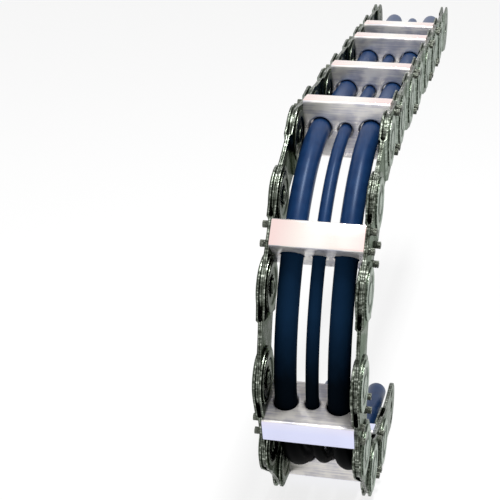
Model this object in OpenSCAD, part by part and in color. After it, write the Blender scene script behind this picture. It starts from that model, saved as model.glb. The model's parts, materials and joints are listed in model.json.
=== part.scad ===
// Steel cable drag chain with split, drilled frame stays and three cables.
// Origin: middle of the fixed-end hinge axis. X runs across the chain, +Z is up.
// The bottom run leaves the origin towards -Y, bends up and comes back towards +Y.
// Each link has its own frame: x across, y from its tongue pivot to its fork pivot,
// z towards the outside of the bend.

/* [Chain] */
// Distance between two hinge axes
pitch = 65; // [60:1:80]
// Clear width between the plates at a link's waist
inner_w = 65; // [62:1:120]
// Angle between the stops of a joint
stop_angle = 30; // [29:0.5:34]
// Links that lie flat on the bottom run
bottom_links = 1; // [1:1:4]
// Angle at rest of the first bent joint, where the chain starts to lift
lift_angle = 9; // [5:1:20]
// Joints of the bend that rest on their stops, next to the first
tight_joints = 3; // [3:1:4]
// Joints that make up the rest of the half turn, a little off their stops
easy_joints = 3; // [3:1:5]
// Links on the top run, after the bend
top_links = 7; // [3:1:8]

/* [Side plates] */
// Thickness of one stamped plate
plate_t = 1.4; // [1:0.1:2]
// Radius of the round fork end of a plate
fork_r = 22; // [20:0.5:24]
// Radius of the long shallow waist in a plate's edge
waist_cut_r = 220; // [120:10:400]
// Gap between the two plates of a side where they lie together
sheet_gap = 0.05; // [0.02:0.01:0.1]
// Angle of the joggle that opens two plates into a fork
joggle_angle = 45; // [35:5:60]
// Side play of a tongue in its fork, on each face
fork_play = 0.15; // [0.1:0.05:0.3]
// Gap between the edge of a tongue and the joggle of its fork
lobe_gap = 0.4; // [0.3:0.1:1]

/* [Hinge pins] */
// Radius of a hinge pin
pin_r = 5; // [4:0.5:6]
// Radial running clearance of a pin in a tongue
pin_fit = 0.05; // [0.02:0.01:0.1]
// Radial clearance of a pin in its fork
seat_fit = 0.02; // [0.01:0.01:0.05]
// Radius of the discs that close the hinge
disc_r = 18.5; // [17:0.5:19]
// Thickness of a disc
disc_t = 1.2; // [0.8:0.1:1.6]
// Radius of the raised boss in the middle of a disc
boss_r = 7.5; // [6:0.5:8]
// Width of the groove around the boss
groove_w = 6; // [3:0.5:7]
// Depth of the groove
groove_d = 0.6; // [0.3:0.1:0.7]

/* [Stop pins] */
// Radius of a stop pin
stop_pin_r = 2.5; // [2:0.25:3]
// Distance from the hinge axis to a stop pin
stop_pin_at = 13.5; // [11:0.5:14]
// Clearance of a stop pin in its slot
slot_clear = 0.1; // [0.05:0.05:0.2]
// Relief that makes a slot's round ends a little wider than the slot
slot_relief = 0.05; // [0.03:0.01:0.1]

/* [Frame stays] */
// Height of a stay, both halves together
stay_h = 43; // [36:1:44]
// Gap along the chain between a stay and the round ends of the plates
stay_gap = 0.5; // [0.3:0.1:2]
// Gap at the split line between the two halves of a stay
stay_split = 0.2; // [0.1:0.05:0.5]
// Radius along a stay's long outer edges
stay_edge_r = 2; // [1:0.5:4]
// Chamfer at the mouths of the cable holes
mouth_chamfer = 1; // [0.5:0.25:1.5]

/* [Stay bolts] */
// Radius of a bolt's shank
bolt_r = 1.5; // [1.25:0.25:2]
// Length of thread in the stay
bolt_depth = 8; // [5:1:12]
// Radial clearance around a shank
bolt_fit = 0.05; // [0.02:0.01:0.1]
// Radius of a bolt's head
bolt_head_r = 2.75; // [2.5:0.25:3.5]
// Height of a bolt's head
bolt_head_h = 3; // [2:0.25:4]
// Width across flats of the head's socket
bolt_socket = 2.5; // [1.5:0.5:3]
// Radius of the washer under a head
washer_r = 3; // [2.8:0.1:3]
// Thickness of the washer
washer_t = 0.5; // [0.3:0.1:1]
// Height of the spring washer between washer and head
spring_washer_t = 0.8; // [0.5:0.1:1.2]
// Height of the bolts above the middle of the stay
bolt_up = 15; // [13:0.5:16]
// Distance from a bolt's axis to the edge of the stay
bolt_edge = 3.05; // [3.05:0.05:4]

/* [Cables] */
// Radius of the two outer cables
outer_cable_r = 8; // [5:0.5:8.5]
// Radius of the middle cable
middle_cable_r = 4.7; // [3:0.1:6]
// Distance from the middle of the chain to an outer cable
cable_at = 19; // [17:0.5:20]
// Radial clearance left around a bent cable in a stay
cable_fit = 0.2; // [0.1:0.05:0.5]
// Length of cable past the last hinge axis at both ends
cable_tail = 28; // [10:1:60]
// Rounding of a cable's cut end
cable_end_r = 1.2; // [0.5:0.1:2]

/* [Hidden] */
$fn = 96;
eps = 0.01;
// Steps along a bent cable, in degrees, and sides round it
arc_step = 5;
cable_sides = 16;

link_count = bottom_links + tight_joints + easy_joints + top_links;
stay_links = [for (n = [2:2:link_count - 1]) n, if (link_count % 2 == 0) link_count - 1];

// The joints of the bend turn the chain by 180 degrees in all.
easy_angle = (180 - lift_angle - tight_joints * stop_angle) / easy_joints;
function rest_angle(n) = let (k = n - bottom_links)
    k < 0 ? 0 : k == 0 ? lift_angle : k <= tight_joints ? stop_angle
    : k <= tight_joints + easy_joints ? easy_angle : 0;

// Radius of a line that touches the middles of two links at this angle.
function mid_radius(angle) = pitch / 2 / tan(angle / 2);

// Layers of one side, counted outwards from the middle of the chain.
waist_in = inner_w / 2;
waist_out = waist_in + 2 * plate_t + sheet_gap;
fork_step = plate_t + fork_play;
fork_in = waist_in - fork_step;
fork_out = waist_out + fork_step;

// Stay, joggle and tongue follow from the pitch and the round fork ends.
stay_w = pitch - 2 * fork_r - 2 * stay_gap;
joggle_at = (pitch + stay_w) / 2;
joggle_lag = plate_t * tan(joggle_angle / 2);
joggle_len = joggle_lag + fork_step / tan(joggle_angle);
tongue_r = pitch - joggle_at - joggle_len - lobe_gap;

// A cable bends inside a straight hole, so the hole is larger by the arc's rise.
tight_radius = mid_radius(stop_angle);
hole_rise = tight_radius - sqrt(pow(tight_radius, 2) - pow(stay_w / 2, 2));
function hole_r(cable_r) = cable_r + hole_rise + cable_fit;

// name, distance from the middle, radius
cables = [
    ["cable_left", -cable_at, outer_cable_r],
    ["cable_middle", 0, middle_cable_r],
    ["cable_right", cable_at, outer_cable_r],
];

function two_digits(n) = n < 10 ? str("0", n) : str(n);
function name_of(kind, n) = str(kind, "_", two_digits(n));
function wanted(name) = node == "all" || node == name;

// Heading of link n, and the place of hinge n as [y, z].
function heading(n) = n == 1 ? 0 : heading(n - 1) + rest_angle(n - 1);
function hinge(n) = n == 0 ? [0, 0]
    : hinge(n - 1) + pitch * [-cos(heading(n)), sin(heading(n))];

NODES = [
    for (n = [1:link_count]) name_of("left_plates", n),
    for (n = [1:link_count]) name_of("right_plates", n),
    for (n = [1:link_count - 1]) name_of("hinge_pins", n),
    for (n = stay_links) name_of("stay", n),
    for (n = stay_links) name_of("stay_bolts", n),
    for (c = cables) c[0],
];
node = "all";

// ---- Side plates ----

// Waist cut: a circle that touches both round ends from outside, as [y, z].
function waist_cut_centre() =
    let (a = waist_cut_r + tongue_r, b = waist_cut_r + fork_r,
         y = (pitch * pitch + a * a - b * b) / (2 * pitch))
    [y, sqrt(a * a - y * y)];

// Point where a round end meets the waist cut.
function touch_point(at, r) =
    let (c = waist_cut_centre(), d = [c[0] - at, c[1]]) [at, 0] + r * d / norm(d);

module plate_outline() {
    c = waist_cut_centre();
    t = touch_point(0, tongue_r);
    f = touch_point(pitch, fork_r);
    circle(r = tongue_r);
    translate([pitch, 0]) circle(r = fork_r);
    difference() {
        polygon([[0, 0], t, f, [pitch, 0], [f[0], -f[1]], [t[0], -t[1]]]);
        for (s = [-1, 1]) translate([c[0], s * c[1]]) circle(r = waist_cut_r, $fn = 360);
    }
}

// Path of one sheet seen from above, as [x, y]: flat, joggled by step, flat again.
// The lag on the face outside the bend keeps the sheet at one thickness.
module sheet_path(x, step) {
    back = -tongue_r - 1;
    front = pitch + fork_r + 1;
    run = abs(step) / tan(joggle_angle);
    low = joggle_at + (step > 0 ? joggle_lag : 0);
    high = joggle_at + (step > 0 ? 0 : joggle_lag);
    polygon([
        [x, back], [x, low], [x + step, low + run], [x + step, front],
        [x + step + plate_t, front], [x + step + plate_t, high + run],
        [x + plate_t, high], [x + plate_t, back],
    ]);
}

module sheet(x, step) {
    intersection() {
        translate([0, 0, -fork_r - 1]) linear_extrude(2 * fork_r + 2) sheet_path(x, step);
        across(fork_in - 1, fork_out + 1) plate_outline();
    }
}

// Extrudes a [y, z] drawing across the chain, from x = low to x = high.
module across(low, high) {
    translate([low, 0, 0]) rotate([90, 0, 90]) linear_extrude(high - low) children();
}

// A hole across the chain.
module drill(y, z, r) {
    across(fork_in - 2, fork_out + 2) translate([y, z]) circle(r = r);
}

// Slot that a stop pin runs in as its link turns from straight to fully bent.
module stop_slot(from_angle) {
    r = stop_pin_r + slot_clear;
    depth = waist_out - waist_in + 2;
    translate([waist_in - 1, 0, 0]) rotate([90, 0, 90]) {
        rotate_extrude(angle = stop_angle, start = from_angle)
            translate([stop_pin_at - r, 0]) square([2 * r, depth]);
        for (a = [from_angle, from_angle + stop_angle])
            rotate(a) translate([stop_pin_at, 0]) cylinder(r = r + slot_relief, h = depth);
    }
}

module side_plates(bolted) {
    color("#b9c2b8") difference() {
        union() {
            sheet(waist_in, -fork_step);
            sheet(waist_out - plate_t, fork_step);
        }
        drill(0, 0, pin_r + pin_fit);
        drill(pitch, 0, pin_r + seat_fit);
        for (s = [-1, 1]) drill(pitch, s * stop_pin_at, stop_pin_r + seat_fit);
        stop_slot(90);
        stop_slot(270);
        if (bolted) for (p = bolt_places) drill(p[0], p[1], bolt_r + bolt_fit);
    }
}

// ---- Hinge pins, their retaining discs and the stop pins ----

// Half section of a disc's raised face, from its boss to its rim, as [radius, height].
function disc_face(base, height) = [
    [boss_r, base + height], [boss_r + groove_d, base + height - groove_d],
    [boss_r + groove_w - groove_d, base + height - groove_d],
    [boss_r + groove_w, base + height], [disc_r - height / 2, base + height],
    [disc_r, base + height / 2], [disc_r, base],
];

module hinge_pin() {
    head = fork_out - fork_in + disc_t;
    translate([fork_in, 0, 0]) rotate([90, 0, 90])
        rotate_extrude() polygon(concat(
            [[0, -disc_t], [0, head]],
            disc_face(head - disc_t, disc_t),
            [[pin_r, head - disc_t], [pin_r, -disc_t]]
        ));
}

module retaining_disc() {
    bore = pin_r + seat_fit;
    translate([fork_in, 0, 0]) rotate([90, 0, -90])
        rotate_extrude() polygon(concat(
            [[bore, 0], [bore, disc_t]], disc_face(0, disc_t)
        ));
}

// A stop pin lies loose between the discs that cover it.
module stop_pin(z) {
    across(fork_in + sheet_gap, fork_out - sheet_gap)
        translate([0, z]) circle(r = stop_pin_r);
}

module hinge_set() {
    color("#9ea69d") {
        hinge_pin();
        retaining_disc();
        for (s = [-1, 1]) stop_pin(s * stop_pin_at);
    }
}

// ---- Frame stays ----

// Bolt places on one end of a stay, as [y, z].
bolt_places = [for (y = [-1, 1], z = [-1, 1])
    [pitch / 2 + y * (stay_w / 2 - bolt_edge), z * bolt_up]];

// Section of one half, from the split line to the rounded outer edges.
module stay_profile() {
    w = stay_w / 2;
    low = stay_split / 2;
    translate([-w, low]) square([stay_w, stay_h / 2 - stay_edge_r - low]);
    translate([-w + stay_edge_r, low])
        square([stay_w - 2 * stay_edge_r, stay_h / 2 - low]);
    for (s = [-1, 1])
        translate([s * (w - stay_edge_r), stay_h / 2 - stay_edge_r]) circle(r = stay_edge_r);
}

// A cable's hole along the chain, opened out at both mouths.
module cable_hole(x, r) {
    translate([x, 0, 0]) rotate([90, 0, 0]) {
        cylinder(r = r, h = stay_w + 2, center = true);
        for (s = [0, 1]) mirror([0, 0, s])
            translate([0, 0, stay_w / 2 - mouth_chamfer])
                cylinder(r1 = r, r2 = r + mouth_chamfer + eps, h = mouth_chamfer + eps);
    }
}

module stay_half() {
    difference() {
        translate([-waist_in, 0, 0]) rotate([90, 0, 90])
            linear_extrude(inner_w) stay_profile();
        for (c = cables) cable_hole(c[1], hole_r(c[2]));
        for (s = [-1, 1], p = bolt_places) if (p[1] > 0)
            translate([s * (waist_in - bolt_depth / 2), p[0] - pitch / 2, p[1]])
                rotate([0, 90, 0])
                    cylinder(r = bolt_r + bolt_fit, h = bolt_depth + 2 * bolt_fit, center = true);
    }
}

module stay() {
    color("#e9e7e6") translate([0, pitch / 2, 0]) {
        stay_half();
        mirror([0, 0, 1]) stay_half();
    }
}

// ---- Stay bolts ----

// Cap screw on a flat washer and a spring washer, standing along +z from the plate.
module stay_bolt() {
    seat = washer_t + spring_washer_t;
    top = seat + bolt_head_h;
    reach = bolt_depth + waist_out - waist_in;
    rim = 0.3;
    difference() {
        rotate_extrude($fn = 48) polygon([
            [0, -reach], [bolt_r, -reach], [bolt_r, 0], [washer_r, 0], [washer_r, washer_t],
            [bolt_head_r - rim, washer_t], [bolt_head_r - rim, seat], [bolt_head_r, seat],
            [bolt_head_r, top - rim], [bolt_head_r - rim, top], [0, top],
        ]);
        translate([0, 0, top - bolt_head_h / 2])
            cylinder(d = bolt_socket / cos(30), h = bolt_head_h, $fn = 6);
    }
}

module stay_bolts() {
    color("#6f726e") for (s = [0, 1]) mirror([s, 0, 0])
        for (p = bolt_places)
            translate([waist_out, p[0], p[1]]) rotate([0, 90, 0]) stay_bolt();
}

// ---- Cables ----

// Way along the chain, and way out of the bend, at a heading, as [y, z].
function along(h) = [-cos(h), sin(h)];
function outward(h) = [-sin(h), -cos(h)];
function middle(n) = (hinge(n - 1) + hinge(n)) / 2;

// The cables touch the middle of every link, with an arc round the inside of each
// bent hinge. Each stop on the line is [y, z, heading].
function arc_line(n) =
    let (angle = rest_angle(n), radius = mid_radius(angle), steps = ceil(angle / arc_step),
         centre = middle(n) - radius * outward(heading(n)))
    [for (k = [0:steps - 1]) let (h = heading(n) + angle * k / steps, p = centre + radius * outward(h))
        [p[0], p[1], h]];

function stop_at(n, offset) = let (p = middle(n) + offset * along(heading(n)))
    [p[0], p[1], heading(n)];

last_bend = bottom_links + tight_joints + easy_joints;
fixed_tail = pitch * (bottom_links - 0.5) + cable_tail;
moving_tail = pitch * (top_links - 0.5) + cable_tail;
cable_line = [
    stop_at(bottom_links, -fixed_tail), stop_at(bottom_links, cable_end_r - fixed_tail),
    for (n = [bottom_links:last_bend]) each arc_line(n),
    stop_at(last_bend + 1, 0), stop_at(last_bend + 1, moving_tail - cable_end_r),
    stop_at(last_bend + 1, moving_tail),
];

// A round bar along the cable line, with its two cut ends rounded off.
module cable(x, r) {
    last = len(cable_line) - 1;
    function ring_r(k) = k == 0 || k == last ? r - cable_end_r : r;
    points = [for (k = [0:last], i = [0:cable_sides - 1])
        let (a = 360 * i / cable_sides, s = cable_line[k], o = outward(s[2]) * ring_r(k) * sin(a))
        [x + ring_r(k) * cos(a), s[0] + o[0], s[1] + o[1]]];
    function at(k, i) = k * cable_sides + i % cable_sides;
    faces = concat(
        [[for (i = [0:cable_sides - 1]) at(0, i)]],
        [for (k = [0:last - 1], i = [0:cable_sides - 1])
            [at(k, i + 1), at(k, i), at(k + 1, i), at(k + 1, i + 1)]],
        [[for (i = [cable_sides - 1:-1:0]) at(last, i)]]
    );
    color("#26466f") polyhedron(points, faces);
}

// ---- Assembly ----

module at_link(n) {
    p = hinge(n - 1);
    translate([0, p[0], p[1]]) rotate([180 - heading(n), 0, 0]) children();
}

module both_sides() {
    children();
    mirror([1, 0, 0]) children();
}

function bolted(n) = len(search(n, stay_links)) > 0;

for (n = [1:link_count]) {
    if (wanted(name_of("left_plates", n)))
        at_link(n) mirror([1, 0, 0]) side_plates(bolted(n));
    if (wanted(name_of("right_plates", n)))
        at_link(n) side_plates(bolted(n));
}
for (n = [1:link_count - 1])
    if (wanted(name_of("hinge_pins", n)))
        at_link(n) both_sides() translate([0, pitch, 0]) hinge_set();
for (n = stay_links) {
    if (wanted(name_of("stay", n))) at_link(n) stay();
    if (wanted(name_of("stay_bolts", n))) at_link(n) stay_bolts();
}
for (c = cables) if (wanted(c[0])) cable(c[1], c[2]);
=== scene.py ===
"""Looks for the steel cable drag chain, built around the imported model.

The chain is a row of links on hinges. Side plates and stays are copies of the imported
solids with rounded edges. Hinge discs, screws and cables are modelled here.
"""

import json
import math

import bmesh
import bpy
from mathutils import Matrix, Vector


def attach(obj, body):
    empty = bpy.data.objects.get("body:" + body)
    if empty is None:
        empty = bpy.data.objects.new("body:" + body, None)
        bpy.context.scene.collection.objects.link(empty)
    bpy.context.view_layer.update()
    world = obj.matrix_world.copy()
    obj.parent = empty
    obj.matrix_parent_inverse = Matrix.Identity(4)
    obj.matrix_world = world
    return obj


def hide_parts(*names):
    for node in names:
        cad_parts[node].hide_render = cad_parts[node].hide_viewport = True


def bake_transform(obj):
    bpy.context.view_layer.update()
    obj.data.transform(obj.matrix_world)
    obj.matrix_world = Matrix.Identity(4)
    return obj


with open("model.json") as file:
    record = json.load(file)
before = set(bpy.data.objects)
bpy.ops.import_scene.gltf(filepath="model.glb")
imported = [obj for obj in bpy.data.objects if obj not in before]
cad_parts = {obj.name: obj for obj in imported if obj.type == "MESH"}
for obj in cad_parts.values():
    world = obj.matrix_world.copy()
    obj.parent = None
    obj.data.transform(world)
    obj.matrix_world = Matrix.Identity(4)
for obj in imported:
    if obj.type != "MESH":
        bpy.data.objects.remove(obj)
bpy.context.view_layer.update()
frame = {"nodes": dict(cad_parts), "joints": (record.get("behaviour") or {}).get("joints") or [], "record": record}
MM = 0.001

# ---- Sizes, in metres. Distances across the chain are from its middle ----

PITCH = 65 * MM
LINKS = 14
FLOOR_Z = -22 * MM

# Side plates, in four layers of sheet: the fork's two and the waist's two between them
WAIST_OUT = 35.35 * MM
FORK_IN = 30.95 * MM
FORK_OUT = 36.9 * MM
LAYER_STEP = 1.517 * MM

# Hinge pins, their discs and the stop pins
PIN_R = 5 * MM
DISC_R = 18.5 * MM
DISC_OUT = 38.1 * MM
DISC_IN = 29.75 * MM
STOP_PIN_AT = 13.5 * MM
STOP_PIN_R = 2.5 * MM
STOP_PIN_PLAY = 0.05 * MM
PEEN_R = 5.7 * MM
PEEN_H = 0.8 * MM

# Stay screws
BOLT_UP = 15 * MM
BOLT_OUT = 6.95 * MM
WASHER_R = 3 * MM
WASHER_T = 0.5 * MM
SPRING_R = 2.6 * MM
SPRING_T = 0.8 * MM
SPRING_SLIT = 0.4 * MM
HEAD_R = 2.75 * MM
HEAD_H = 3 * MM
HEX_ACROSS = 2.5 * MM
HEX_DEPTH = 1.5 * MM

# Cables: how far each lies from the middle, and its radius
CABLES = {"cable_left": (-19 * MM, 8 * MM), "cable_middle": (0.0, 4.7 * MM),
          "cable_right": (19 * MM, 8 * MM)}
CABLE_TAIL = 28 * MM
CUT_EDGE = 1.2 * MM
END_RECESS = 0.9 * MM
CORES = 7
# Hinges of the lower bend, whose cable stretches are matt and carry painted shade.
MATT_SHADED_HINGES = (2, 3, 4, 5)

# ---- Where the links are ----

hinges = {j["name"]: Vector(j["pos_m"]) for j in frame["joints"]}
mounts = {m["name"]: Vector(m["pos_m"]) for m in frame["record"]["mounts"]}
pivots = [mounts["fixed_end"]] + [hinges[f"hinge_{n:02d}"] for n in range(1, LINKS)]
pivots.append(Vector((0, *mounts["moving_fork_left"].yz)))
STAY_LINKS = [n for n in range(1, LINKS + 1) if f"stay_{n:02d}" in frame["nodes"]]


def link_matrix(n):
    """Place of link n: x across, y from its tongue to its fork, z out of the bend."""
    along = (pivots[n] - pivots[n - 1]).normalized()
    across = Vector((1, 0, 0))
    turned = Matrix((across, along, across.cross(along))).transposed()
    return Matrix.Translation(pivots[n - 1]) @ turned.to_4x4()


def middle(n):
    """Middle of link n, halfway between its two hinges."""
    return (pivots[n - 1] + pivots[n]) / 2


# ---- Materials ----


def linear(hex_colour):
    """An sRGB hex colour as the linear colour that a shader takes."""
    parts = [int(hex_colour[i:i + 2], 16) / 255 for i in (1, 3, 5)]
    return tuple(c / 12.92 if c <= 0.04045 else ((c + 0.055) / 1.055) ** 2.4
                 for c in parts) + (1.0,)


def add(tree, kind, inputs=None, stops=None, **settings):
    """Adds a node. inputs gives each socket a value, an output, or a node whose first
    output it takes. stops gives a colour ramp's places and hex colours."""
    made = tree.nodes.new(kind)
    for key, value in settings.items():
        setattr(made, key, value)
    for key, value in (inputs or {}).items():
        if isinstance(value, bpy.types.Node):
            value = value.outputs[0]
        if isinstance(value, bpy.types.NodeSocket):
            tree.links.new(value, made.inputs[key])
        else:
            made.inputs[key].default_value = value
    if stops:
        band = made.color_ramp.elements
        while len(band) < len(stops):
            band.new(0.5)
        for element, (at, colour) in zip(band, stops):
            element.position, element.color = at, linear(colour)
    return made


def new_finish(name):
    """A new material and its empty node tree."""
    made = bpy.data.materials.new(name)
    made.use_nodes = True
    made.node_tree.nodes.clear()
    return made, made.node_tree


def place_in(tree, stretch=(1, 1, 1)):
    """Object coordinates, stretched so that a pattern can run along one way."""
    spot = add(tree, "ShaderNodeTexCoord").outputs["Object"]
    return add(tree, "ShaderNodeMapping", {"Vector": spot, "Scale": stretch})


def object_axes(tree):
    """The X, Y and Z of a place on the object, in metres."""
    spot = add(tree, "ShaderNodeTexCoord").outputs["Object"]
    return add(tree, "ShaderNodeSeparateXYZ", {"Vector": spot}).outputs


def on_link(tree, stretch=(1, 1, 1), shift=(0, 0, 0)):
    """Place on a link: x across, y from its tongue to its fork, z out of the bend.
    The map "link" holds y and z. x is the same on the link as on the object."""
    flat = add(tree, "ShaderNodeUVMap", uv_map="link")
    flat = add(tree, "ShaderNodeSeparateXYZ", {"Vector": flat}).outputs
    spot = add(tree, "ShaderNodeCombineXYZ", {"X": object_axes(tree)["X"],
                                              "Y": flat["X"], "Z": flat["Y"]})
    return add(tree, "ShaderNodeMapping", {"Vector": spot, "Location": shift,
                                           "Scale": stretch})


def along_cable(tree, round_size, along_size):
    """Noise on a cable's own map, which holds metres round it and along it."""
    flat = add(tree, "ShaderNodeUVMap", uv_map="jacket")
    flat = add(tree, "ShaderNodeMapping", {
        "Vector": flat, "Scale": (1 / round_size, 1 / along_size, 1)})
    return add(tree, "ShaderNodeTexNoise", {"Vector": flat, "Scale": 1.0, "Detail": 3.0})


def off_middle(tree):
    """Distance from the middle of the chain, across it, in metres."""
    return add(tree, "ShaderNodeMath", {0: object_axes(tree)["X"]}, operation="ABSOLUTE")


def painted_shade_inside(tree, value, share):
    """Blends a 0 to 1 value with 0 on a link's inner sheets and with 1 on its outer ones. This paints shade: the
    inner sheets, between the links, come out darker."""
    outer = add(tree, "ShaderNodeMapRange", {"Value": off_middle(tree),
                                             "From Min": 33 * MM, "From Max": 35 * MM})
    return add(tree, "ShaderNodeMix", {0: share, 2: value, 3: outer})


def seen_directly(tree):
    """1 for what the camera sees itself, in a mirror or through glass, and else 0."""
    path = add(tree, "ShaderNodeLightPath").outputs
    seen = add(tree, "ShaderNodeMath", {0: path["Is Camera Ray"],
                                        1: path["Is Glossy Ray"]}, operation="MAXIMUM")
    return add(tree, "ShaderNodeMath", {0: seen, 1: path["Is Transmission Ray"]},
               operation="MAXIMUM")


def galvanised_sheet(name):
    """Steel sheet, rolled, hot-dip galvanised and stamped: grey-green, streaked along
    the link, with faint spangle whose crystals catch the light one by one."""
    made, tree = new_finish(name)
    at = place_in(tree)
    # Spangle crystals, 4 mm across.
    crystal = add(tree, "ShaderNodeTexVoronoi", {"Vector": at, "Scale": 1 / (4 * MM)})
    shade = add(tree, "ShaderNodeSeparateColor", {"Color": crystal.outputs["Color"]})
    # Rolling streaks 1 mm wide and 40 mm long, and press dents 6 mm across.
    rolled = on_link(tree, (1 / (8 * MM), 1 / (40 * MM), 1 / MM))
    streaks = add(tree, "ShaderNodeTexNoise", {"Vector": rolled, "Scale": 1.0,
                                               "Detail": 3.0})
    dents = add(tree, "ShaderNodeTexNoise", {"Vector": at, "Scale": 1 / (6 * MM),
                                             "Detail": 1.0})
    # Grain of 0.6 mm, drawn coarser than the real one so that it shows.
    grain = add(tree, "ShaderNodeTexNoise", {"Vector": at, "Scale": 1 / (0.6 * MM)})
    mixed = add(tree, "ShaderNodeMix", {0: 0.14, 2: streaks, 3: shade})
    mixed = add(tree, "ShaderNodeMix", {0: 0.2, 2: mixed, 3: grain})
    # Painted shade: the inner sheets, between the links, come out darker than the outer ones.
    colour = add(tree, "ShaderNodeValToRGB", {"Fac": painted_shade_inside(tree, mixed, 0.4)}, [
        (0.2, "#1c1e18"), (0.36, "#454b42"), (0.62, "#717a70"), (0.8, "#a6b0a6")])
    low = add(tree, "ShaderNodeBump", {"Height": dents, "Strength": 0.5,
                                       "Distance": 0.6 * MM})
    both = add(tree, "ShaderNodeBump", {"Height": streaks, "Strength": 0.4,
                                        "Distance": 0.15 * MM, "Normal": low})
    rough = add(tree, "ShaderNodeMapRange", {"Value": shade, "To Min": 0.18,
                                             "To Max": 0.28})
    shader = add(tree, "ShaderNodeBsdfPrincipled", {
        "Base Color": colour, "Roughness": rough, "Metallic": 1.0,
        "Specular Tint": linear("#a8aea6"), "Normal": both})
    add(tree, "ShaderNodeOutputMaterial", {"Surface": shader})
    return made


def sheared_edge(name):
    """Cut edge of the galvanised sheets: in each sheet a burnished line where the
    punch slid and a dark one where the steel tore, with chatter across them."""
    made, tree = new_finish(name)
    # Counts up by one from each layer of sheet to the next one out.
    layer = add(tree, "ShaderNodeMath", {0: off_middle(tree), 1: FORK_IN},
                operation="SUBTRACT")
    layer = add(tree, "ShaderNodeMath", {0: layer, 1: LAYER_STEP}, operation="DIVIDE")
    depth = add(tree, "ShaderNodeMath", {0: layer}, operation="FRACT")
    torn = add(tree, "ShaderNodeMapRange", {"Value": depth, "From Min": 0.3,
                                            "From Max": 0.5, "To Min": 0.72,
                                            "To Max": 0.28})
    # Chatter bands, 2.2 mm apart.
    hammered = on_link(tree, (1 / (12 * MM), 1 / (2.2 * MM), 1 / (2.2 * MM)))
    bands = add(tree, "ShaderNodeTexNoise", {"Vector": hammered, "Scale": 1.0})
    grain = add(tree, "ShaderNodeTexNoise", {"Vector": place_in(tree),
                                             "Scale": 1 / (0.9 * MM)})
    mixed = add(tree, "ShaderNodeMix", {0: 0.3, 2: bands, 3: torn})
    mixed = add(tree, "ShaderNodeMix", {0: 0.2, 2: mixed, 3: grain})
    colour = add(tree, "ShaderNodeValToRGB", {"Fac": mixed}, [
        (0.36, "#1f221c"), (0.47, "#4c5148"), (0.58, "#7a8177"), (0.68, "#e6ecdf")])
    bump = add(tree, "ShaderNodeBump", {"Height": bands, "Strength": 0.6,
                                        "Distance": 0.3 * MM})
    rough = add(tree, "ShaderNodeMapRange", {"Value": grain, "To Min": 0.2,
                                             "To Max": 0.4})
    shader = add(tree, "ShaderNodeBsdfPrincipled", {
        "Base Color": colour, "Roughness": rough, "Metallic": 1.0, "Normal": bump})
    add(tree, "ShaderNodeOutputMaterial", {"Surface": shader})
    return made


def turned_zinc(name):
    """Steel discs, turned and zinc-plated: pale green-white and smooth, with rings from the tool, painted shade in
    the groove and painted shade on the inner discs."""
    made, tree = new_finish(name)
    # Distance from the hinge at the link's fork, in metres.
    arm = on_link(tree, (0, 1, 1), (0, -PITCH, 0))
    reach = add(tree, "ShaderNodeVectorMath", {0: arm},
                operation="LENGTH").outputs["Value"]
    # Turning rings, 0.9 mm apart, drawn coarser than the real ones so that they show.
    rings = add(tree, "ShaderNodeTexNoise", {"W": reach, "Scale": 1 / (0.9 * MM),
                                             "Detail": 1.0}, noise_dimensions="1D")
    # Clouds in the plating, 9 mm across.
    patch = add(tree, "ShaderNodeTexNoise", {"Vector": place_in(tree),
                                             "Scale": 1 / (9 * MM), "Detail": 3.0})
    # Painted shade: the inner discs, between the plates, come out darker than the outer ones.
    plating = add(tree, "ShaderNodeValToRGB", {"Fac": painted_shade_inside(tree, patch, 0.5)}, [
        (0.2, "#3d4139"), (0.35, "#666d64"), (0.7, "#9ca79e"), (0.85, "#c3cfc6")])
    # Painted shade in the groove, darkest at its two walls. 1 stands for 20 mm.
    groove = add(tree, "ShaderNodeMath", {0: reach, 1: 50.0}, operation="MULTIPLY")
    grease = add(tree, "ShaderNodeValToRGB", {"Fac": groove}, [
        (0.36, "#ffffff"), (0.4, "#6a6a6a"), (0.5, "#b4b4b4"), (0.64, "#7c7c7c"),
        (0.69, "#ffffff")])
    colour = add(tree, "ShaderNodeMix", {0: 1.0, 6: plating, 7: grease},
                 data_type="RGBA", blend_type="MULTIPLY").outputs[2]
    bump = add(tree, "ShaderNodeBump", {"Height": rings, "Strength": 0.25,
                                        "Distance": 0.08 * MM})
    rough = add(tree, "ShaderNodeMapRange", {"Value": rings, "To Min": 0.14,
                                             "To Max": 0.3})
    shader = add(tree, "ShaderNodeBsdfPrincipled", {
        "Base Color": colour, "Roughness": rough, "Metallic": 1.0,
        "Specular Tint": linear("#c6cbc4"), "Normal": bump})
    add(tree, "ShaderNodeOutputMaterial", {"Surface": shader})
    return made


def milled_aluminium(name):
    """Aluminium, milled and bored after it was cut: greyer than the polished faces
    and soft in its reflections, with cutter marks across."""
    made, tree = new_finish(name)
    # Cutter marks 1.1 mm apart, up through the stay, and slow stains 14 mm across.
    cut = place_in(tree, (1 / (30 * MM), 1 / (1.1 * MM), 1 / (1.1 * MM)))
    marks = add(tree, "ShaderNodeTexNoise", {"Vector": cut, "Scale": 1.0})
    stains = add(tree, "ShaderNodeTexNoise", {"Vector": place_in(tree),
                                              "Scale": 1 / (14 * MM)})
    mixed = add(tree, "ShaderNodeMix", {0: 0.4, 2: stains, 3: marks})
    colour = add(tree, "ShaderNodeValToRGB", {"Fac": mixed}, [
        (0.38, "#c8c8d2"), (0.46, "#e2dfe2"), (0.56, "#fffbf6")])
    bump = add(tree, "ShaderNodeBump", {"Height": marks, "Strength": 0.25,
                                        "Distance": 0.08 * MM})
    rough = add(tree, "ShaderNodeMapRange", {"Value": marks, "To Min": 0.24,
                                             "To Max": 0.4})
    shader = add(tree, "ShaderNodeBsdfPrincipled", {
        "Base Color": colour, "Roughness": rough, "Metallic": 0.6, "Normal": bump})
    add(tree, "ShaderNodeOutputMaterial", {"Surface": shader})
    return made


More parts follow.
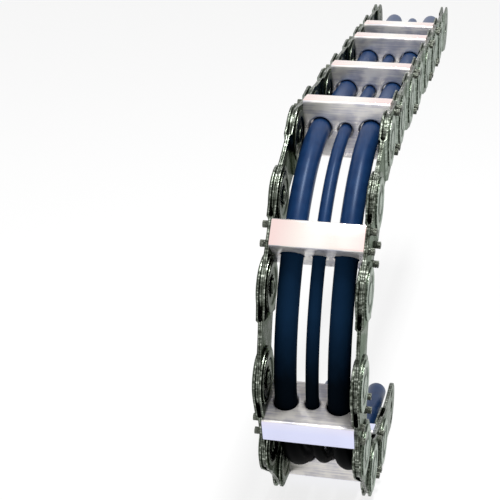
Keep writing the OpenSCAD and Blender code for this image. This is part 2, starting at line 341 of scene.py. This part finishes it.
def polished_aluminium(name):
    """Aluminium, extruded and polished: nearly white, a soft mirror with faint
    lines along the extrusion."""
    made, tree = new_finish(name)
    # Die lines run across the chain, 0.8 mm apart and 60 mm long.
    drawn = place_in(tree, (1 / (60 * MM), 1 / (0.8 * MM), 1 / (0.8 * MM)))
    lines = add(tree, "ShaderNodeTexNoise", {"Vector": drawn, "Scale": 1.0})
    # Slow waves of the polish, 35 mm across.
    waves = add(tree, "ShaderNodeTexNoise", {"Vector": place_in(tree),
                                             "Scale": 1 / (35 * MM), "Detail": 1.0})
    wave = add(tree, "ShaderNodeBump", {"Height": waves, "Strength": 0.2,
                                        "Distance": 1 * MM})
    fine = add(tree, "ShaderNodeBump", {"Height": lines, "Strength": 0.1,
                                        "Distance": 0.03 * MM, "Normal": wave})
    # The anodic film is pink towards the ends of a stay, 34 mm out. Low down the colour turns bluer, a painted
    # reflection of the blue that the low stays stand over.
    off = add(tree, "ShaderNodeMath", {0: off_middle(tree), 1: 34 * MM},
              operation="DIVIDE")
    off = add(tree, "ShaderNodeMix", {0: 0.4, 2: off, 3: waves})
    warm = add(tree, "ShaderNodeValToRGB", {"Fac": off}, [
        (0.2, "#fffdf8"), (0.4, "#fdf3ec"), (0.72, "#fadfdb")])
    # Painted reflection: the stay is all blue below 75 mm up and all film colour above 110 mm.
    high = add(tree, "ShaderNodeMapRange", {"Value": object_axes(tree)["Z"],
                                            "From Min": 75 * MM, "From Max": 110 * MM})
    film_and_painted_reflection = add(tree, "ShaderNodeMix", {0: high, 6: linear("#dcdffa"), 7: warm},
               data_type="RGBA").outputs[2]
    rough = add(tree, "ShaderNodeMapRange", {"Value": lines, "To Min": 0.1,
                                             "To Max": 0.2})
    shader = add(tree, "ShaderNodeBsdfPrincipled", {
        "Base Color": film_and_painted_reflection, "Roughness": rough, "Metallic": 1.0, "Normal": fine})
    add(tree, "ShaderNodeOutputMaterial", {"Surface": shader})
    return made


def dark_screw_steel(name):
    """Alloy steel screws, black-oxided and oiled: dark grey with a satin sheen."""
    made, tree = new_finish(name)
    # Oxide mottle, 1.5 mm across.
    mottle = add(tree, "ShaderNodeTexNoise", {"Vector": place_in(tree),
                                              "Scale": 1 / (1.5 * MM), "Detail": 3.0})
    colour = add(tree, "ShaderNodeValToRGB", {"Fac": mottle}, [
        (0.3, "#383b34"), (0.7, "#6c7067")])
    bump = add(tree, "ShaderNodeBump", {"Height": mottle, "Strength": 0.15,
                                        "Distance": 0.05 * MM})
    rough = add(tree, "ShaderNodeMapRange", {"Value": mottle, "To Min": 0.28,
                                             "To Max": 0.42})
    shader = add(tree, "ShaderNodeBsdfPrincipled", {
        "Base Color": colour, "Roughness": rough, "Metallic": 1.0, "Normal": bump})
    add(tree, "ShaderNodeOutputMaterial", {"Surface": shader})
    return made


def pvc_jacket(name):
    """PVC cable jacket, extruded: glossy navy with faint drawing lines along it."""
    made, tree = new_finish(name)
    lines = along_cable(tree, 1.2 * MM, 90 * MM)
    scuffs = along_cable(tree, 9 * MM, 9 * MM)
    colour = add(tree, "ShaderNodeValToRGB", {"Fac": scuffs}, [
        (0.3, "#102a50"), (0.7, "#16345c")])
    bump = add(tree, "ShaderNodeBump", {"Height": lines, "Strength": 0.1,
                                        "Distance": 0.1 * MM})
    rough = add(tree, "ShaderNodeMapRange", {"Value": scuffs, "To Min": 0.3,
                                             "To Max": 0.38})
    shader = add(tree, "ShaderNodeBsdfPrincipled", {
        "Base Color": colour, "Roughness": rough, "IOR": 1.5,
        "Specular IOR Level": 0.2, "Specular Tint": linear("#c4dcff"), "Normal": bump})
    add(tree, "ShaderNodeOutputMaterial", {"Surface": shader})
    return made


def matt_jacket_painted_shade(name):
    """The same jacket where it flexes in the lower bend, matt, with painted shade: its colour runs from navy under
    the sixth link's stay to near black at the lowest link, darker lower down."""
    made, tree = new_finish(name)
    lines = along_cable(tree, 1.2 * MM, 60 * MM)
    scuffs = along_cable(tree, 8 * MM, 14 * MM)
    # Painted shade: from 160 mm up down to 30 mm up, the colour darkens towards black.
    painted_shade_height = add(tree, "ShaderNodeMapRange", {"Value": object_axes(tree)["Z"],
                                             "From Min": 30 * MM, "From Max": 160 * MM})
    mixed = add(tree, "ShaderNodeMix", {0: 0.12, 2: painted_shade_height, 3: scuffs})
    colour = add(tree, "ShaderNodeValToRGB", {"Fac": mixed}, [
        (0.2, "#000102"), (0.6, "#050d15"), (0.94, "#122a44")])
    bump = add(tree, "ShaderNodeBump", {"Height": lines, "Strength": 0.12,
                                        "Distance": 0.1 * MM})
    rough = add(tree, "ShaderNodeMapRange", {"Value": scuffs, "To Min": 0.42,
                                             "To Max": 0.56})
    shader = add(tree, "ShaderNodeBsdfPrincipled", {
        "Base Color": colour, "Roughness": rough, "IOR": 1.5,
        "Specular IOR Level": 0.004, "Normal": bump})
    add(tree, "ShaderNodeOutputMaterial", {"Surface": shader})
    return made


def cable_filler(name):
    """Extruded rubbery filler round a cable's cores: matt grey with fine pores."""
    made, tree = new_finish(name)
    # Pores, 0.6 mm across.
    pores = add(tree, "ShaderNodeTexNoise", {"Vector": place_in(tree),
                                             "Scale": 1 / (0.6 * MM), "Detail": 3.0})
    colour = add(tree, "ShaderNodeValToRGB", {"Fac": pores}, [
        (0.3, "#6f7174"), (0.7, "#a3a5a8")])
    bump = add(tree, "ShaderNodeBump", {"Height": pores, "Strength": 0.4,
                                        "Distance": 0.1 * MM})
    rough = add(tree, "ShaderNodeMapRange", {"Value": pores, "To Min": 0.6,
                                             "To Max": 0.8})
    shader = add(tree, "ShaderNodeBsdfPrincipled", {
        "Base Color": colour, "Roughness": rough, "IOR": 1.5, "Normal": bump})
    add(tree, "ShaderNodeOutputMaterial", {"Surface": shader})
    return made


def core_sleeve(name):
    """PVC sleeve of one core: black with a low sheen."""
    made, tree = new_finish(name)
    # Scuffs, 0.8 mm across.
    scuffs = add(tree, "ShaderNodeTexNoise", {"Vector": place_in(tree),
                                              "Scale": 1 / (0.8 * MM)})
    colour = add(tree, "ShaderNodeValToRGB", {"Fac": scuffs}, [
        (0.3, "#141517"), (0.7, "#26282b")])
    rough = add(tree, "ShaderNodeMapRange", {"Value": scuffs, "To Min": 0.35,
                                             "To Max": 0.5})
    shader = add(tree, "ShaderNodeBsdfPrincipled", {
        "Base Color": colour, "Roughness": rough, "IOR": 1.5})
    add(tree, "ShaderNodeOutputMaterial", {"Surface": shader})
    return made


def sawn_copper(name):
    """Copper strands, cut through: bright orange with a 0.3 mm strand pattern."""
    made, tree = new_finish(name)
    strand = add(tree, "ShaderNodeTexVoronoi", {"Vector": place_in(tree),
                                                "Scale": 1 / (0.3 * MM)})
    colour = add(tree, "ShaderNodeValToRGB", {"Fac": strand}, [
        (0.1, "#e08a5a"), (0.6, "#7a3d22")])
    bump = add(tree, "ShaderNodeBump", {"Height": strand, "Strength": 0.5,
                                        "Distance": 0.1 * MM}, invert=True)
    rough = add(tree, "ShaderNodeMapRange", {"Value": strand, "To Min": 0.25,
                                             "To Max": 0.4})
    shader = add(tree, "ShaderNodeBsdfPrincipled", {
        "Base Color": colour, "Roughness": rough, "Metallic": 1.0, "Normal": bump})
    add(tree, "ShaderNodeOutputMaterial", {"Surface": shader})
    return made


def backdrop_paper(name):
    """Matt white studio paper. Seen directly or in metal it is close to white, and
    the object's shadow stays on it."""
    made, tree = new_finish(name)
    # Fibre, 4 mm across, drawn coarser than the real one.
    fibre = add(tree, "ShaderNodeTexNoise", {"Vector": place_in(tree),
                                             "Scale": 1 / (4 * MM)})
    colour = add(tree, "ShaderNodeValToRGB", {"Fac": fibre}, [
        (0.3, "#f8f8f8"), (0.7, "#fbfbfb")])
    paper = add(tree, "ShaderNodeBsdfPrincipled", {
        "Base Color": colour, "Roughness": 0.9, "Specular IOR Level": 0.1})
    white = add(tree, "ShaderNodeEmission", {"Color": linear("#ffffff"), "Strength": 1.0})
    lifted = add(tree, "ShaderNodeMath", {0: seen_directly(tree), 1: 0.8},
                 operation="MULTIPLY")
    both = add(tree, "ShaderNodeMixShader", {0: lifted, 1: paper, 2: white})
    add(tree, "ShaderNodeOutputMaterial", {"Surface": both})
    return made


PLATE = galvanised_sheet("galvanised_steel_sheet")
PLATE_EDGE = sheared_edge("sheared_sheet_edge")
TURNED = turned_zinc("zinc_plated_turned_steel")
STAY = polished_aluminium("polished_aluminium")
STAY_SIDE = milled_aluminium("milled_aluminium")
SCREW = dark_screw_steel("black_oxide_screw_steel")
JACKET = pvc_jacket("pvc_cable_jacket")
# Matt jacket of the lower bend, with painted shade that darkens it lower down.
JACKET_MATT_SHADED = matt_jacket_painted_shade("matt_pvc_jacket_painted_shade")
FILLER = cable_filler("rubber_cable_filler")
SLEEVE = core_sleeve("pvc_core_sleeve")
COPPER = sawn_copper("cut_copper_strands")
PAPER = backdrop_paper("matt_backdrop_paper")

# ---- Modelling helpers ----


def put(name, data):
    """A new object at the origin, with this mesh, lamp or camera."""
    piece = bpy.data.objects.new(name, data)
    bpy.context.scene.collection.objects.link(piece)
    return piece


def drop(master):
    bpy.data.objects.remove(master)


def only(piece):
    """Selects this piece and nothing else."""
    bpy.ops.object.select_all(action="DESELECT")
    piece.select_set(True)
    bpy.context.view_layer.objects.active = piece


def join(parts):
    only(parts[0])
    for part in parts:
        part.select_set(True)
    bpy.ops.object.join()
    return parts[0]


def apply_modifier(piece, kind, **settings):
    only(piece)
    modifier = piece.modifiers.new(kind, kind)
    for key, value in settings.items():
        setattr(modifier, key, value)
    bpy.ops.object.modifier_apply(modifier=modifier.name)


def bevel(piece, width, segments, sharpest):
    """Rounds the edges where faces meet at more than this angle in degrees."""
    apply_modifier(piece, "BEVEL", width=width, segments=segments, limit_method="ANGLE",
                   angle_limit=math.radians(sharpest))


def cut_out(piece, cutter):
    apply_modifier(piece, "BOOLEAN", object=cutter, operation="DIFFERENCE",
                   solver="EXACT")
    drop(cutter)


def smooth(piece, angle):
    """Shades smooth across edges of less than this angle in degrees."""
    only(piece)
    bpy.ops.object.shade_smooth_by_angle(angle=math.radians(angle))


def two_finishes(piece, second):
    """Gives the faces whose normal passes the test the second material."""
    while len(piece.data.materials) < 2:
        piece.data.materials.append(None)
    for face in piece.data.polygons:
        face.material_index = int(second(face.normal))


def round_bar(vertices, radius, low, high):
    """Cylinder round the x axis from low to high."""
    bpy.ops.object.select_all(action="DESELECT")
    bpy.ops.mesh.primitive_cylinder_add(
        vertices=vertices, radius=radius, depth=high - low,
        location=((low + high) / 2, 0, 0), rotation=(0, math.radians(90), 0))
    bpy.ops.object.transform_apply(location=True, rotation=True, scale=True)
    return bpy.context.active_object


def rounded_bar(vertices, radius, low, high, width, segments=3):
    """Cylinder round the x axis with both its rims rounded."""
    piece = round_bar(vertices, radius, low, high)
    bevel(piece, width, segments, 60)
    return piece


def work_face(piece, test, steps, way):
    """Insets the flat faces that pass the test and moves what is left, once for each
    step of (inset, how far along the way), in mm."""
    only(piece)
    bpy.ops.object.mode_set(mode="EDIT")
    bpy.ops.mesh.select_mode(type="FACE")
    bpy.ops.mesh.select_all(action="DESELECT")
    bpy.ops.object.mode_set(mode="OBJECT")
    for face in piece.data.polygons:
        face.select = test(face)
    bpy.ops.object.mode_set(mode="EDIT")
    for inset, along in steps:
        bpy.ops.mesh.inset(thickness=inset * MM)
        bpy.ops.transform.translate(value=way * along * MM)
    bpy.ops.object.mode_set(mode="OBJECT")


def map_link(piece):
    """Writes each corner's y and z on the link to the map "link"."""
    layers = piece.data.uv_layers
    flat = layers.get("link") or layers.new(name="link")
    for loop in piece.data.loops:
        flat.data[loop.index].uv = piece.data.vertices[loop.vertex_index].co.yz


def rounded_copy(node, n, width, second):
    """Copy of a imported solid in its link's own place, with its edges rounded."""
    mesh = frame["nodes"][node].data.copy()
    mesh.transform(link_matrix(n).inverted())
    mesh.materials.clear()
    piece = put("master", mesh)
    only(piece)
    bpy.ops.object.mode_set(mode="EDIT")
    bpy.ops.mesh.select_all(action="SELECT")
    bpy.ops.mesh.remove_doubles(threshold=0.002 * MM)
    bpy.ops.mesh.dissolve_limited(angle_limit=math.radians(0.5))
    bpy.ops.object.mode_set(mode="OBJECT")
    bevel(piece, width, 2, 35)
    smooth(piece, 28)
    two_finishes(piece, second)
    map_link(piece)
    return piece


def place_copy(master, n, name, node, materials):
    """Puts a copy of a master piece on link n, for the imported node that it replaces."""
    mesh = master.data.copy()
    mesh.transform(link_matrix(n))
    for i, material in enumerate(materials):
        mesh.materials[i] = material
    piece = put(name, mesh)
    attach(piece, f"link_{n:02d}")
    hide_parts(node)


# ---- Side plates and stays ----


def cut_edge(normal):
    """A sheet's cut edges are the faces that don't look along x."""
    return abs(normal.x) < 0.5


def milled_side(normal):
    """A stay's sides, which the cables go through, are its faces along the link."""
    return abs(normal.y) > 0.6


def side_plates():
    for side in ("left", "right"):
        for bolted in (False, True):
            links = [n for n in range(1, LINKS + 1) if (n in STAY_LINKS) == bolted]
            master = rounded_copy(f"{side}_plates_{links[0]:02d}", links[0], 0.2 * MM,
                                  cut_edge)
            for n in links:
                place_copy(master, n, f"side_plates_{side}_{n:02d}",
                           f"{side}_plates_{n:02d}", [PLATE, PLATE_EDGE])
            drop(master)


def stays():
    first = STAY_LINKS[0]
    master = rounded_copy(f"stay_{first:02d}", first, 0.3 * MM, milled_side)
    for n in STAY_LINKS:
        place_copy(master, n, f"frame_stay_{n:02d}", f"stay_{n:02d}",
                   [STAY, STAY_SIDE])
    drop(master)


# ---- Hinges ----

# How a disc's face is turned, from its rim inwards: rim, outer wall of the groove,
# its floor, its inner wall, boss, centre mark. In mm: how far in, how far out.
DISC_TURNING = ((4.2, 0), (0.25, -0.09), (0.5, -0.42), (0.25, -0.09), (4.4, 0),
                (0.25, 0.09), (0.5, 0.42), (0.25, 0.09), (6.3, 0), (0.3, -0.1),
                (0.6, -0.5))
# The punch's dimple in the end of a pin, in the same way.
PEEN_DIMPLE = ((1.6, 0), (1, -0.45))


def flat_end(way):
    """Test for the round flat end of a bar that looks this way along x."""
    return lambda face: face.normal.x * way > 0.9 and len(face.vertices) > 8


def turned_disc(low, high, way):
    """Hinge disc on the x axis, turned on its face towards the way (-1 or 1)."""
    disc = rounded_bar(96, DISC_R, low, high, 0.45 * MM)
    work_face(disc, flat_end(way), DISC_TURNING, Vector((way, 0, 0)))
    return disc


def peened_end(side):
    """End of the pin, hammered over its inner disc, with the punch's dimple."""
    start, end = sorted((side * (DISC_IN + 0.2 * MM), side * (DISC_IN - PEEN_H)))
    piece = rounded_bar(32, PEEN_R, start, end, 0.45 * MM)
    work_face(piece, flat_end(-side), PEEN_DIMPLE, Vector((-side, 0, 0)))
    return piece


def stop_pin(low, high, z):
    pin = rounded_bar(24, STOP_PIN_R, low, high, 0.3 * MM, 2)
    pin.data.transform(Matrix.Translation((0, 0, z)))
    return pin


def hinge_sets():
    parts = []
    for side in (-1, 1):
        outer = sorted((side * FORK_OUT, side * DISC_OUT))
        inner = sorted((side * DISC_IN, side * FORK_IN))
        shaft = sorted((side * (DISC_IN + 0.2 * MM), side * (FORK_OUT + 0.2 * MM)))
        stop = sorted((side * (FORK_IN + STOP_PIN_PLAY),
                       side * (FORK_OUT - STOP_PIN_PLAY)))
        parts += [turned_disc(*outer, side), turned_disc(*inner, -side),
                  round_bar(32, PIN_R, *shaft), peened_end(side),
                  stop_pin(*stop, -STOP_PIN_AT), stop_pin(*stop, STOP_PIN_AT)]
    master = join(parts)
    master.data.transform(Matrix.Translation((0, PITCH, 0)))
    smooth(master, 28)
    two_finishes(master, cut_edge)
    map_link(master)
    for n in range(1, LINKS):
        place_copy(master, n, f"hinge_set_{n:02d}", f"hinge_pins_{n:02d}",
                   [TURNED, PLATE_EDGE])
    drop(master)


# ---- Stay screws ----


def screw():
    """Cap screw on its washers, standing along x from the plate at 0: knurled head,
    hexagon socket, split spring washer and flat washer."""
    seat = WASHER_T + SPRING_T
    top = seat + HEAD_H
    washer = rounded_bar(32, WASHER_R, 0, WASHER_T, 0.1 * MM, 2)
    spring = round_bar(32, SPRING_R, WASHER_T, seat)
    bpy.ops.mesh.primitive_cube_add(
        size=1, location=((WASHER_T + seat) / 2, 0, SPRING_R - 0.3 * MM),
        rotation=(0, 0, math.radians(25)))
    slit = bpy.context.active_object
    slit.scale = (3 * MM, SPRING_SLIT, 2 * MM)
    cut_out(spring, slit)
    bevel(spring, 0.08 * MM, 1, 60)
    head = round_bar(48, HEAD_R, seat, top)
    # Knurl: every other line of the head's wall is set in by 0.13 mm.
    for i, point in enumerate(head.data.vertices):
        if i // 2 % 2:
            point.co.yz *= 1 - 0.13 * MM / HEAD_R
    cut_out(head, round_bar(6, HEX_ACROSS / 2 / math.cos(math.radians(30)),
                            top - HEX_DEPTH, top + 0.7 * MM))
    # Chamfer 0.2 mm deep round both ends of the head.
    for at, inwards in ((seat, 1), (top, -1)):
        for point in head.data.vertices:
            if abs(point.co.x - at) < 0.01 * MM and point.co.yz.length > 2 * MM:
                point.co.x += inwards * 0.2 * MM
                point.co.yz *= 0.93
    whole = join([head, spring, washer])
    smooth(whole, 25)
    return whole


def stay_bolt_sets():
    one = screw()
    eight = bmesh.new()
    for turn in (0, math.pi):
        for y in (-BOLT_OUT, BOLT_OUT):
            for z in (-BOLT_UP, BOLT_UP):
                mesh = one.data.copy()
                mesh.transform(Matrix.Translation((0, PITCH / 2 + y, z))
                               @ Matrix.Rotation(turn, 4, "Z")
                               @ Matrix.Translation((WAIST_OUT, 0, 0)))
                eight.from_mesh(mesh)
                bpy.data.meshes.remove(mesh)
    mesh = bpy.data.meshes.new("master")
    eight.to_mesh(mesh)
    eight.free()
    mesh.materials.append(None)
    master = put("master", mesh)
    for n in STAY_LINKS:
        place_copy(master, n, f"stay_screws_{n:02d}", f"stay_bolts_{n:02d}",
                   [SCREW])
    drop(one)
    drop(master)


# ---- Cables ----


def straight(a, b, out, steps):
    return [(a.lerp(b, k / steps), out) for k in range(steps + 1)]


def cable_line(n, steps):
    """Centre line round hinge n, from the middle of link n to the middle of link
    n + 1, as (place, way out of the bend)."""
    out_a, out_b = (link_matrix(i).to_3x3().col[2] for i in (n, n + 1))
    angle = out_a.angle(out_b)
    if angle < math.radians(0.5):
        return straight(middle(n), middle(n + 1), out_a, steps)
    radius = PITCH / 2 / math.tan(angle / 2)
    centre = middle(n) - radius * out_a
    ways = [out_a.slerp(out_b, k / steps) for k in range(steps + 1)]
    return [(centre + radius * out, out) for out in ways]


def line_length(line):
    return sum((b[0] - a[0]).length for a, b in zip(line, line[1:]))


def core_bore(radius):
    """Inner radius of the jacket of a cable of this outer radius."""
    return 0.78 * (radius - CUT_EDGE)


def cut_rings(ring, way, travel_way):
    """The rings of a cable's cut end, which looks along the way: round the jacket's
    edge, over its wall and in to the filler."""
    spot, out, radius, along = ring
    rings = []
    for turn in (0, 30, 60, 90):
        back = CUT_EDGE * (1 - math.sin(math.radians(turn)))
        shrunk = radius - CUT_EDGE * (1 - math.cos(math.radians(turn)))
        rings.append((spot - way * back, out, shrunk, along - travel_way * back))
    bore = core_bore(radius)
    return rings + [(spot, out, bore, along), (spot - way * END_RECESS, out, bore, along)]


def tube(name, line, x, radius, travelled, sides, jacket, cut=None):
    """Cable along a line, with a UV map in metres, round it and along it. Its first
    or last end can be cut."""
    rings = [(*line[i], radius, travelled + line_length(line[:i + 1]))
             for i in range(len(line))]
    if cut == "first":
        way = (line[0][0] - line[1][0]).normalized()
        rings[:1] = cut_rings(rings[0], way, -1)[::-1]
    if cut == "last":
        way = (line[-1][0] - line[-2][0]).normalized()
        rings[-1:] = cut_rings(rings[-1], way, 1)
    shape = bmesh.new()
    uv = shape.loops.layers.uv.new("jacket")
    across = Vector((1, 0, 0))
    turns = [2 * math.pi * s / sides for s in range(sides)]
    grid = [[shape.verts.new(spot + x * across
                             + r * (across * math.cos(t) + out * math.sin(t)))
             for t in turns] for spot, out, r, _ in rings]
    for i in range(len(grid) - 1):
        for s in range(sides):
            corners = [(i, s), (i, s + 1), (i + 1, s + 1), (i + 1, s)]
            face = shape.faces.new([grid[a][b % sides] for a, b in corners])
            face.smooth = True
            for loop, (a, b) in zip(face.loops, corners):
                loop[uv].uv = (2 * math.pi * radius * b / sides, rings[a][3])
    for ring in (grid[0][::-1], grid[-1]):
        face = shape.faces.new(ring)
        face.material_index = 1
        for rim in face.edges:
            rim.smooth = False
        for loop in face.loops:
            loop[uv].uv = loop.vert.co.xy
    bmesh.ops.recalc_face_normals(shape, faces=shape.faces)
    mesh = bpy.data.meshes.new(name)
    shape.to_mesh(mesh)
    shape.free()
    mesh.materials.append(jacket)
    mesh.materials.append(FILLER)
    return put(name, mesh)


def cut_cores(name, radius):
    """The cores of a cut cable, standing in its filler round the z axis, with the
    sleeves cut at a height of 0 and the copper 0.15 mm in. One core lies in the
    middle and six round it."""
    core = core_bore(radius) / 3 * 0.96
    parts = []
    for k in range(CORES):
        turn, off = math.radians(60 * k), 2.04 * core * (k > 0)
        bpy.ops.object.select_all(action="DESELECT")
        bpy.ops.mesh.primitive_cylinder_add(
            vertices=20, radius=core, depth=0.8 * MM,
            location=(off * math.cos(turn), off * math.sin(turn), -0.4 * MM))
        part = bpy.context.active_object
        work_face(part, lambda face: face.normal.z > 0.9, [(core * 0.35 / MM, -0.15)],
                  Vector((0, 0, 1)))
        part.data.materials.append(SLEEVE)
        part.data.materials.append(COPPER)
        for face in part.data.polygons:
            face.material_index = int(face.select)
        parts.append(part)
    cores = join(parts)
    cores.name = name
    bpy.ops.object.transform_apply(location=True, rotation=True, scale=True)
    bevel(cores, 0.08 * MM, 2, 50)
    smooth(cores, 30)
    return cores


def set_cores(name, node, x, radius, spot, way, body):
    """Puts the cut cores in the end of a cable that looks along this way."""
    piece = cut_cores(name, radius)
    side = Vector((1, 0, 0))
    turned = Matrix((side, way.cross(side), way)).transposed().to_4x4()
    place = spot + x * side - way * END_RECESS / 2
    piece.data.transform(Matrix.Translation(place) @ turned)
    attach(piece, body)
    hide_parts(node)


def cables():
    first, last = link_matrix(1).to_3x3(), link_matrix(LINKS).to_3x3()
    start = pivots[0] - first.col[1] * CABLE_TAIL
    end = pivots[-1] + last.col[1] * CABLE_TAIL
    start_body, end_body = "link_01", f"link_{LINKS}"
    for node, (x, radius) in CABLES.items():
        sides = 40 if radius > 6 * MM else 28
        line = straight(start, middle(1), first.col[2], 8)
        ends = [(tube(f"{node}_fixed_end", line, x, radius, 0.0, sides, JACKET, "first"),
                 start_body)]
        travelled = line_length(line)
        for n in range(1, LINKS):
            line = cable_line(n, 14)
            # Stretches in the lower bend get the matt jacket with painted shade.
            jacket = JACKET_MATT_SHADED if n in MATT_SHADED_HINGES else JACKET
            piece = tube(f"{node}_{n:02d}", line, x, radius, travelled, sides, jacket)
            travelled += line_length(line)
            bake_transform(piece)
            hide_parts(node)
        line = straight(middle(LINKS), end, last.col[2], 8)
        ends.append((tube(f"{node}_moving_end", line, x, radius, travelled, sides,
                          JACKET, "last"), end_body))
        for piece, body in ends:
            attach(piece, body)
            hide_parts(node)
        set_cores(f"{node}_cores_fixed", node, x, radius, start, -first.col[1],
                  start_body)
        set_cores(f"{node}_cores_moving", node, x, radius, end, last.col[1], end_body)


# ---- Studio ----


def floor():
    bpy.ops.object.select_all(action="DESELECT")
    bpy.ops.mesh.primitive_plane_add(size=40, location=(0, 10, FLOOR_Z - 0.3 * MM))
    paper = bpy.context.active_object
    paper.name = "backdrop_floor"
    paper.data.materials.append(PAPER)


def facing(azimuth, elevation):
    """The way that something looks down on the chain from this side. Azimuth 0 looks
    along +Y, and elevation is above the floor, both in degrees."""
    a, e = math.radians(azimuth), math.radians(elevation)
    return Vector((-math.sin(a) * math.cos(e), math.cos(a) * math.cos(e), -math.sin(e)))


def sun(name, azimuth, elevation, strength, angle):
    """Soft far lamp that shines from this side. Its angle is its softness."""
    lamp = bpy.data.lights.new(name, "SUN")
    lamp.energy, lamp.angle = strength, math.radians(angle)
    holder = put(name, lamp)
    holder.rotation_mode = "QUATERNION"
    holder.rotation_quaternion = facing(azimuth, elevation).to_track_quat("-Z", "Y")


def strip_lamp(name, place, width, length, power):
    """Long narrow softbox that hangs above and runs along y."""
    lamp = bpy.data.lights.new(name, "AREA")
    lamp.shape, lamp.size, lamp.size_y, lamp.energy = "RECTANGLE", width, length, power
    put(name, lamp).location = place


def studio_world():
    """Soft white room, dimmer as a light than it looks."""
    world = bpy.data.worlds.new("studio")
    bpy.context.scene.world = world
    world.use_nodes = True
    tree = world.node_tree
    tree.nodes.clear()
    strength = add(tree, "ShaderNodeMapRange", {"Value": seen_directly(tree),
                                                "To Min": 0.32, "To Max": 1.0})
    light = add(tree, "ShaderNodeBackground", {"Color": linear("#ffffff"),
                                               "Strength": strength})
    add(tree, "ShaderNodeOutputWorld", {"Surface": light})


def camera(place, azimuth, elevation, roll, lens):
    """Camera with a 36 mm film that looks this way, turned by a small roll."""
    eye = bpy.data.cameras.new("camera")
    eye.sensor_width, eye.lens, eye.clip_end = 36, lens, 100
    holder = put("camera", eye)
    ahead = facing(azimuth, elevation)
    level = ahead.cross(Vector((0, 0, 1))).normalized()
    tipped = Matrix.Rotation(math.radians(roll), 3, ahead)
    right, up = tipped @ level, tipped @ level.cross(ahead)
    turned = Matrix((right, up, -ahead)).transposed().to_4x4()
    holder.matrix_world = Matrix.Translation(place) @ turned
    bpy.context.scene.camera = holder


# A long lens from the front and above, a little to the right of the chain.
camera((0.14612, -1.06737, 0.51803), 12.391, 19.508, -0.315, 99.87)
side_plates()
stays()
hinge_sets()
stay_bolt_sets()
cables()
floor()
sun("key", 12, 76, 0.7, 40)
strip_lamp("strip", (0.17, -0.1, 1.7), 0.15, 0.8, 22)
sun("fill", 60, 40, 0.2, 80)
studio_world()
bpy.context.scene.view_settings.view_transform = "Standard"
